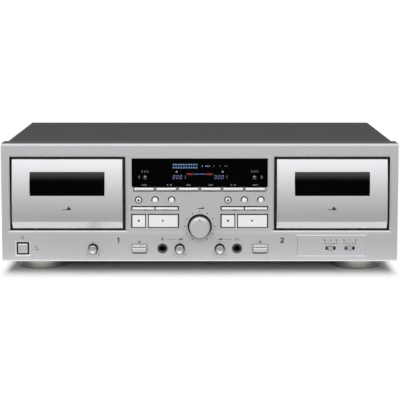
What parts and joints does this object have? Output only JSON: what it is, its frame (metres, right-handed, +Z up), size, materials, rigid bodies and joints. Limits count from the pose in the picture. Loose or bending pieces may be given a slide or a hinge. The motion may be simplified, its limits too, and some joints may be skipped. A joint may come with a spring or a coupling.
{
  "type": "double cassette deck",
  "caption": "Full-width stereo cassette deck with a silver front, twin tilting cassette doors, a central display window, transport keys, level knobs and round feet.",
  "frame": {"origin": "middle of the bounding box, on the plane of the feet", "axes": "+X to the viewer's right, +Y from the front to the rear, +Z up; the front faces -Y"},
  "size_m": [0.435, 0.285, 0.143],
  "materials": {
    "silver_panel": "fine satin, anodised silver",
    "dark_frame": "satin dark grey",
    "black_window": "gloss black",
    "grey_cover": "fine-grained dark grey paint",
    "chassis_steel": "bright zinc-plated sheet",
    "silver_foot": "metallised silver",
    "black_socket": "satin black",
    "black_connector": "satin black",
    "green_board": "coated board",
    "transformer_core": "varnished laminations",
    "plate_steel": "dark plated sheet",
    "motor_can": "plated can",
    "belt_rubber": "matt",
    "holder_plastic": "satin black",
    "silver_door": "satin silver paint",
    "smoked_lens": "polished, smoked",
    "silver_knob": "turned and satin",
    "dark_switch": "satin",
    "silver_button": "satin silver paint",
    "silver_round": "silver-white",
    "white_key": "silver-white",
    "black_button": "gloss black",
    "bridge_steel": "plated",
    "spindle_plastic": "moulded",
    "flywheel_brass": "turned"
  },
  "bodies": {
    "casing": {"front_panel": "silver_panel", "front_frame": "dark_frame", "display_window": "black_window", "top_cover": "grey_cover", "chassis": "chassis_steel", "feet": "silver_foot", "front_sockets": "black_socket", "rear_connectors": "black_connector", "circuit_boards": "green_board", "power_transformer": "transformer_core", "transport_plates": "plate_steel", "drive_motors": "motor_can", "drive_belts": "belt_rubber"},
    "door_1": {"cassette_holder_1": "holder_plastic", "door_cover_1": "silver_door", "door_lens_1": "smoked_lens"},
    "door_2": {"cassette_holder_2": "holder_plastic", "door_cover_2": "silver_door", "door_lens_2": "smoked_lens"},
    "rec_level_knob": {"rec_level_knob": "silver_knob"},
    "mic_level_knob": {"mic_level_knob": "silver_knob"},
    "phones_level_knob": {"phones_level_knob": "silver_knob"},
    "pitch_knob": {"pitch_knob": "silver_knob"},
    "timer_switch": {"timer_switch": "dark_switch"},
    "noise_switch": {"noise_switch": "dark_switch"},
    "power_button": {"power_button": "silver_button"},
    "eject_button_1": {"eject_button_1": "silver_button"},
    "eject_button_2": {"eject_button_2": "silver_button"},
    "stop_button_1": {"stop_button_1": "white_key"},
    "stop_button_2": {"stop_button_2": "white_key"},
    "play_button_1": {"play_button_1": "white_key"},
    "play_button_2": {"play_button_2": "white_key"},
    "rewind_button_1": {"rewind_button_1": "white_key"},
    "rewind_button_2": {"rewind_button_2": "white_key"},
    "forward_button_1": {"forward_button_1": "white_key"},
    "forward_button_2": {"forward_button_2": "white_key"},
    "record_button_1": {"record_button_1": "silver_round"},
    "record_button_2": {"record_button_2": "silver_round"},
    "pause_button_1": {"pause_button_1": "silver_round"},
    "pause_button_2": {"pause_button_2": "silver_round"},
    "mute_button_1": {"mute_button_1": "silver_round"},
    "mute_button_2": {"mute_button_2": "silver_round"},
    "function_key_1": {"function_key_1": "white_key"},
    "function_key_2": {"function_key_2": "white_key"},
    "function_key_3": {"function_key_3": "white_key"},
    "function_key_4": {"function_key_4": "white_key"},
    "function_key_5": {"function_key_5": "white_key"},
    "function_key_6": {"function_key_6": "white_key"},
    "counter_reset_1": {"counter_reset_1": "black_button"},
    "counter_reset_2": {"counter_reset_2": "black_button"},
    "head_bridge_1": {"head_bridge_1": "bridge_steel"},
    "supply_spindle_1": {"supply_spindle_1": "spindle_plastic"},
    "takeup_spindle_1": {"takeup_spindle_1": "spindle_plastic"},
    "capstan_flywheel_1": {"capstan_flywheel_1": "flywheel_brass"},
    "motor_pulley_1": {"motor_pulley_1": "flywheel_brass"},
    "head_bridge_2": {"head_bridge_2": "bridge_steel"},
    "supply_spindle_2": {"supply_spindle_2": "spindle_plastic"},
    "takeup_spindle_2": {"takeup_spindle_2": "spindle_plastic"},
    "capstan_flywheel_2": {"capstan_flywheel_2": "flywheel_brass"},
    "motor_pulley_2": {"motor_pulley_2": "flywheel_brass"}
  },
  "joints": [
    {"name": "door_1_hinge", "type": "hinge", "parent": "casing", "child": "door_1", "pos_m": [-0.145, -0.123, 0.0546], "axis": [1, 0, 0], "range_deg": [0, 22]},
    {"name": "door_2_hinge", "type": "hinge", "parent": "casing", "child": "door_2", "pos_m": [0.145, -0.123, 0.0546], "axis": [1, 0, 0], "range_deg": [0, 22]},
    {"name": "rec_level_knob_turn", "type": "hinge", "parent": "casing", "child": "rec_level_knob", "pos_m": [0, -0.1285, 0.0519], "axis": [0, 1, 0], "range_deg": [-150, 150]},
    {"name": "mic_level_knob_turn", "type": "hinge", "parent": "casing", "child": "mic_level_knob", "pos_m": [-0.022, -0.1285, 0.027], "axis": [0, 1, 0], "range_deg": [-150, 150]},
    {"name": "phones_level_knob_turn", "type": "hinge", "parent": "casing", "child": "phones_level_knob", "pos_m": [0.022, -0.1285, 0.027], "axis": [0, 1, 0], "range_deg": [-150, 150]},
    {"name": "pitch_knob_turn", "type": "hinge", "parent": "casing", "child": "pitch_knob", "pos_m": [-0.1174, -0.1285, 0.027], "axis": [0, 1, 0], "range_deg": [-150, 150]},
    {"name": "timer_switch_slide", "type": "slide", "parent": "casing", "child": "timer_switch", "axis": [1, 0, 0], "range_m": [-0.0025, 0.0025]},
    {"name": "noise_switch_slide", "type": "slide", "parent": "casing", "child": "noise_switch", "axis": [1, 0, 0], "range_m": [-0.0025, 0.0025]},
    {"name": "power_press", "type": "slide", "parent": "casing", "child": "power_button", "axis": [0, 1, 0], "range_m": [0, 0.003], "stiffness_N_per_m": 200},
    {"name": "eject_1_press", "type": "slide", "parent": "casing", "child": "eject_button_1", "axis": [0, 1, 0], "range_m": [0, 0.003], "stiffness_N_per_m": 200},
    {"name": "eject_2_press", "type": "slide", "parent": "casing", "child": "eject_button_2", "axis": [0, 1, 0], "range_m": [0, 0.003], "stiffness_N_per_m": 200},
    {"name": "stop_1_press", "type": "slide", "parent": "casing", "child": "stop_button_1", "axis": [0, 1, 0], "range_m": [0, 0.0012], "stiffness_N_per_m": 300},
    {"name": "stop_2_press", "type": "slide", "parent": "casing", "child": "stop_button_2", "axis": [0, 1, 0], "range_m": [0, 0.0012], "stiffness_N_per_m": 300},
    {"name": "play_1_press", "type": "slide", "parent": "casing", "child": "play_button_1", "axis": [0, 1, 0], "range_m": [0, 0.0012], "stiffness_N_per_m": 300},
    {"name": "play_2_press", "type": "slide", "parent": "casing", "child": "play_button_2", "axis": [0, 1, 0], "range_m": [0, 0.0012], "stiffness_N_per_m": 300},
    {"name": "rewind_1_press", "type": "slide", "parent": "casing", "child": "rewind_button_1", "axis": [0, 1, 0], "range_m": [0, 0.0012], "stiffness_N_per_m": 300},
    {"name": "rewind_2_press", "type": "slide", "parent": "casing", "child": "rewind_button_2", "axis": [0, 1, 0], "range_m": [0, 0.0012], "stiffness_N_per_m": 300},
    {"name": "forward_1_press", "type": "slide", "parent": "casing", "child": "forward_button_1", "axis": [0, 1, 0], "range_m": [0, 0.0012], "stiffness_N_per_m": 300},
    {"name": "forward_2_press", "type": "slide", "parent": "casing", "child": "forward_button_2", "axis": [0, 1, 0], "range_m": [0, 0.0012], "stiffness_N_per_m": 300},
    {"name": "record_1_press", "type": "slide", "parent": "casing", "child": "record_button_1", "axis": [0, 1, 0], "range_m": [0, 0.0012], "stiffness_N_per_m": 300},
    {"name": "record_2_press", "type": "slide", "parent": "casing", "child": "record_button_2", "axis": [0, 1, 0], "range_m": [0, 0.0012], "stiffness_N_per_m": 300},
    {"name": "pause_1_press", "type": "slide", "parent": "casing", "child": "pause_button_1", "axis": [0, 1, 0], "range_m": [0, 0.0012], "stiffness_N_per_m": 300},
    {"name": "pause_2_press", "type": "slide", "parent": "casing", "child": "pause_button_2", "axis": [0, 1, 0], "range_m": [0, 0.0012], "stiffness_N_per_m": 300},
    {"name": "mute_1_press", "type": "slide", "parent": "casing", "child": "mute_button_1", "axis": [0, 1, 0], "range_m": [0, 0.0012], "stiffness_N_per_m": 300},
    {"name": "mute_2_press", "type": "slide", "parent": "casing", "child": "mute_button_2", "axis": [0, 1, 0], "range_m": [0, 0.0012], "stiffness_N_per_m": 300},
    {"name": "function_1_press", "type": "slide", "parent": "casing", "child": "function_key_1", "axis": [0, 1, 0], "range_m": [0, 0.0012], "stiffness_N_per_m": 300},
    {"name": "function_2_press", "type": "slide", "parent": "casing", "child": "function_key_2", "axis": [0, 1, 0], "range_m": [0, 0.0012], "stiffness_N_per_m": 300},
    {"name": "function_3_press", "type": "slide", "parent": "casing", "child": "function_key_3", "axis": [0, 1, 0], "range_m": [0, 0.0012], "stiffness_N_per_m": 300},
    {"name": "function_4_press", "type": "slide", "parent": "casing", "child": "function_key_4", "axis": [0, 1, 0], "range_m": [0, 0.0012], "stiffness_N_per_m": 300},
    {"name": "function_5_press", "type": "slide", "parent": "casing", "child": "function_key_5", "axis": [0, 1, 0], "range_m": [0, 0.0012], "stiffness_N_per_m": 300},
    {"name": "function_6_press", "type": "slide", "parent": "casing", "child": "function_key_6", "axis": [0, 1, 0], "range_m": [0, 0.0012], "stiffness_N_per_m": 300},
    {"name": "counter_1_press", "type": "slide", "parent": "casing", "child": "counter_reset_1", "axis": [0, 1, 0], "range_m": [0, 0.0012], "stiffness_N_per_m": 300},
    {"name": "counter_2_press", "type": "slide", "parent": "casing", "child": "counter_reset_2", "axis": [0, 1, 0], "range_m": [0, 0.0012], "stiffness_N_per_m": 300},
    {"name": "head_bridge_1_lift", "type": "slide", "parent": "casing", "child": "head_bridge_1", "axis": [0, 0, 1], "range_m": [0, 0.005]},
    {"name": "supply_spindle_1_spin", "type": "hinge", "parent": "casing", "child": "supply_spindle_1", "pos_m": [-0.16625, -0.1085, 0.0919], "axis": [0, 1, 0], "continuous": true},
    {"name": "takeup_spindle_1_spin", "type": "hinge", "parent": "casing", "child": "takeup_spindle_1", "pos_m": [-0.12375, -0.1085, 0.0919], "axis": [0, 1, 0], "continuous": true},
    {"name": "capstan_1_spin", "type": "hinge", "parent": "casing", "child": "capstan_flywheel_1", "pos_m": [-0.1195, -0.0985, 0.0632], "axis": [0, 1, 0], "continuous": true},
    {"name": "pulley_1_spin", "type": "hinge", "parent": "casing", "child": "motor_pulley_1", "pos_m": [-0.173, -0.0835, 0.0662], "axis": [0, 1, 0], "continuous": true},
    {"name": "head_bridge_2_lift", "type": "slide", "parent": "casing", "child": "head_bridge_2", "axis": [0, 0, 1], "range_m": [0, 0.005]},
    {"name": "supply_spindle_2_spin", "type": "hinge", "parent": "casing", "child": "supply_spindle_2", "pos_m": [0.12375, -0.1085, 0.0919], "axis": [0, 1, 0], "continuous": true},
    {"name": "takeup_spindle_2_spin", "type": "hinge", "parent": "casing", "child": "takeup_spindle_2", "pos_m": [0.16625, -0.1085, 0.0919], "axis": [0, 1, 0], "continuous": true},
    {"name": "capstan_2_spin", "type": "hinge", "parent": "casing", "child": "capstan_flywheel_2", "pos_m": [0.1705, -0.0985, 0.0632], "axis": [0, 1, 0], "continuous": true},
    {"name": "pulley_2_spin", "type": "hinge", "parent": "casing", "child": "motor_pulley_2", "pos_m": [0.117, -0.0835, 0.0662], "axis": [0, 1, 0], "continuous": true}
  ],
  "couplings": [
    {"joint": "pulley_1_spin", "follows": "capstan_1_spin", "ratio": 4.8},
    {"joint": "pulley_2_spin", "follows": "capstan_2_spin", "ratio": 4.8}
  ]
}
